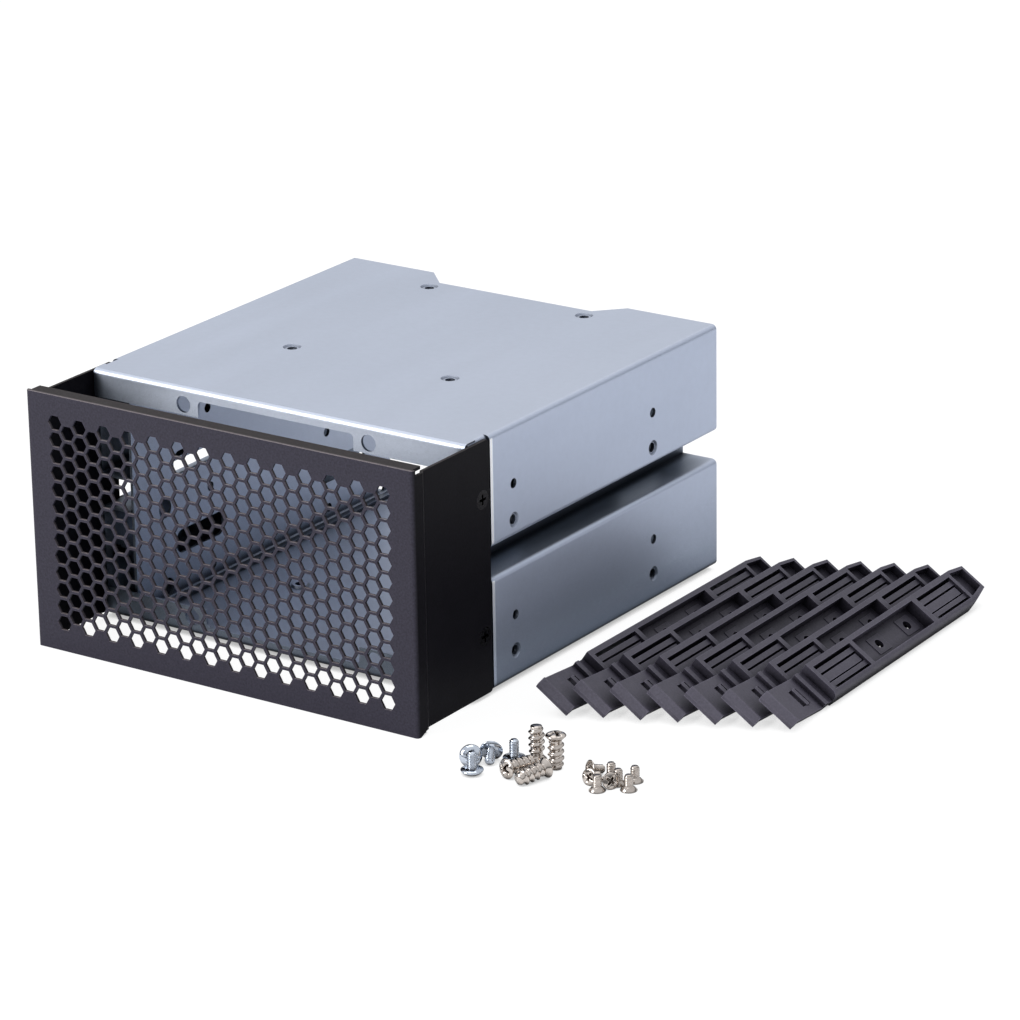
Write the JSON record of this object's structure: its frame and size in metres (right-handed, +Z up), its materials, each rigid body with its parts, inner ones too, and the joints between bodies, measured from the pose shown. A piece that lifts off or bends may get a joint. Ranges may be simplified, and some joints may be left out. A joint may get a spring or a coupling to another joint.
{
  "type": "hard drive cage",
  "caption": "Sheet steel hard drive cage for a front drive bay, with a black honeycomb grille, moulded drive rails and loose mounting screws.",
  "frame": {"origin": "middle of the cage's underside, half-way between its front flanges and its back edge", "axes": "+X to the right, +Y from the grille to the back, +Z up"},
  "size_m": [0.2428, 0.2075, 0.086],
  "materials": {
    "galvanised": "satin",
    "black_paint": "satin",
    "black_screw": "satin",
    "rail_plastic": "matte",
    "blue_zinc": "bright zinc",
    "nickel": "bright nickel"
  },
  "bodies": {
    "cage": {"top_shell": "galvanised", "bottom_shell": "galvanised", "inner_wall_left": "galvanised", "inner_wall_right": "galvanised", "bezel": "black_paint", "bezel_screws_right": "black_screw", "bezel_screws_left": "black_screw", "loose_pan_screws": "blue_zinc", "loose_drive_screws": "nickel", "loose_fan_screws": "nickel"},
    "rail_1": {"drive_rail_1": "rail_plastic"},
    "rail_2": {"drive_rail_2": "rail_plastic"},
    "rail_3": {"drive_rail_3": "rail_plastic"},
    "rail_4": {"drive_rail_4": "rail_plastic"},
    "rail_5": {"drive_rail_5": "rail_plastic"},
    "rail_6": {"drive_rail_6": "rail_plastic"},
    "rail_7": {"drive_rail_7": "rail_plastic"}
  },
  "joints": [
    {"name": "rail_1_draw", "type": "slide", "parent": "cage", "child": "rail_1", "axis": [-0.0052, 1, 0], "range_m": [0, 0.12]},
    {"name": "rail_2_draw", "type": "slide", "parent": "cage", "child": "rail_2", "axis": [-0.0096, 1, 0], "range_m": [0, 0.12]},
    {"name": "rail_3_draw", "type": "slide", "parent": "cage", "child": "rail_3", "axis": [-0.014, 0.9999, 0], "range_m": [0, 0.12]},
    {"name": "rail_4_draw", "type": "slide", "parent": "cage", "child": "rail_4", "axis": [-0.0183, 0.9998, 0], "range_m": [0, 0.12]},
    {"name": "rail_5_draw", "type": "slide", "parent": "cage", "child": "rail_5", "axis": [-0.0227, 0.9997, 0], "range_m": [0, 0.12]},
    {"name": "rail_6_draw", "type": "slide", "parent": "cage", "child": "rail_6", "axis": [-0.027, 0.9996, 0], "range_m": [0, 0.12]},
    {"name": "rail_7_draw", "type": "slide", "parent": "cage", "child": "rail_7", "axis": [-0.0314, 0.9995, 0], "range_m": [0, 0.12]}
  ]
}
